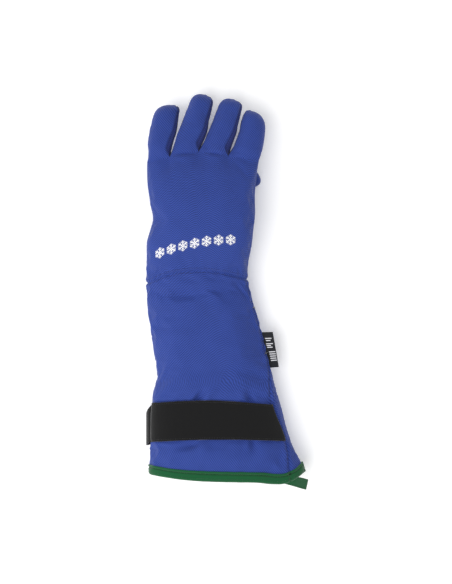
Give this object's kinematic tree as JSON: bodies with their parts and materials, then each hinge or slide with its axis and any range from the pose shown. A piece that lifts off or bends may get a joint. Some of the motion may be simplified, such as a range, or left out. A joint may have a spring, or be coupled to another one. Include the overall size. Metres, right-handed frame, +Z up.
{
  "type": "cryogenic glove",
  "caption": "Elbow-length insulated glove in woven blue shell with a bound mouth, black hook-and-loop cuff strap and layered padded fingers; lies palm down, thumb folded under.",
  "frame": {"origin": "centre of the glove's outline, on the bench that it lies on", "axes": "+Z up out of the back of the hand, +Y from the mouth to the fingertips, +X towards the little finger"},
  "size_m": [0.2254, 0.5477, 0.071],
  "materials": {
    "shell": "fine royal-blue woven shell, slightly rough",
    "fourchette": "the same woven shell, cut into narrow strips between the fingers",
    "insulation": "needled off-white felt",
    "lining": "brushed grey knit",
    "binding": "folded green woven tape with a lock stitch",
    "webbing": "black hook-and-loop tape and webbing",
    "label": "black woven label with plain grey bars"
  },
  "bodies": {
    "gauntlet": {"gauntlet_back_panel": "shell", "gauntlet_palm_panel": "shell", "gauntlet_insulation": "insulation", "gauntlet_lining": "lining", "hem_binding": "binding", "strap_band": "webbing", "strap_loop_patch": "webbing"},
    "strap_end": {"strap_tab": "webbing"},
    "label": {"side_label": "label"},
    "hand": {"hand_back_panel": "shell", "hand_palm_panel": "shell", "hand_insulation": "insulation", "hand_lining": "lining"},
    "index": {"index_back_panel": "shell", "index_palm_panel": "shell", "index_fourchette_right": "fourchette", "index_insulation": "insulation", "index_lining": "lining"},
    "middle": {"middle_back_panel": "shell", "middle_palm_panel": "shell", "middle_fourchette_left": "fourchette", "middle_fourchette_right": "fourchette", "middle_insulation": "insulation", "middle_lining": "lining"},
    "ring": {"ring_back_panel": "shell", "ring_palm_panel": "shell", "ring_fourchette_left": "fourchette", "ring_fourchette_right": "fourchette", "ring_insulation": "insulation", "ring_lining": "lining"},
    "little": {"little_back_panel": "shell", "little_palm_panel": "shell", "little_fourchette_left": "fourchette", "little_insulation": "insulation", "little_lining": "lining"},
    "thumb": {"thumb_inner_panel": "shell", "thumb_outer_panel": "shell", "thumb_insulation": "insulation", "thumb_lining": "lining"}
  },
  "joints": [
    {"name": "wrist_bend", "type": "hinge", "parent": "gauntlet", "child": "hand", "pos_m": [-0.038, 0.02, 0.024], "axis": [-1, 0, 0], "range_deg": [-25, 35], "stiffness_Nm_per_rad": 1},
    {"name": "index_curl", "type": "hinge", "parent": "hand", "child": "index", "pos_m": [-0.0908, 0.197, 0.0395], "axis": [-0.9763, 0.2164, 0], "range_deg": [-10, 50], "stiffness_Nm_per_rad": 0.2},
    {"name": "middle_curl", "type": "hinge", "parent": "hand", "child": "middle", "pos_m": [-0.0534, 0.204, 0.0395], "axis": [-0.9494, 0.314, 0], "range_deg": [-10, 50], "stiffness_Nm_per_rad": 0.2},
    {"name": "ring_curl", "type": "hinge", "parent": "hand", "child": "ring", "pos_m": [-0.014, 0.2, 0.0395], "axis": [-0.9537, 0.3007, 0], "range_deg": [-10, 50], "stiffness_Nm_per_rad": 0.2},
    {"name": "little_curl", "type": "hinge", "parent": "hand", "child": "little", "pos_m": [0.0256, 0.195, 0.0395], "axis": [-0.9833, 0.1822, 0], "range_deg": [-10, 50], "stiffness_Nm_per_rad": 0.2},
    {"name": "thumb_swing", "type": "hinge", "parent": "hand", "child": "thumb", "pos_m": [-0.07, 0.09, 0.012], "axis": [0, 0, 1], "range_deg": [0, 95]},
    {"name": "strap_peel", "type": "hinge", "parent": "gauntlet", "child": "strap_end", "pos_m": [-0.1076, -0.183, 0.0228], "axis": [0, 1, 0], "range_deg": [0, 120]},
    {"name": "label_flap", "type": "hinge", "parent": "gauntlet", "child": "label", "pos_m": [0.05685, -0.0808, 0.026], "axis": [0.2333, -0.9724, 0], "range_deg": [-40, 40], "stiffness_Nm_per_rad": 0.002}
  ]
}
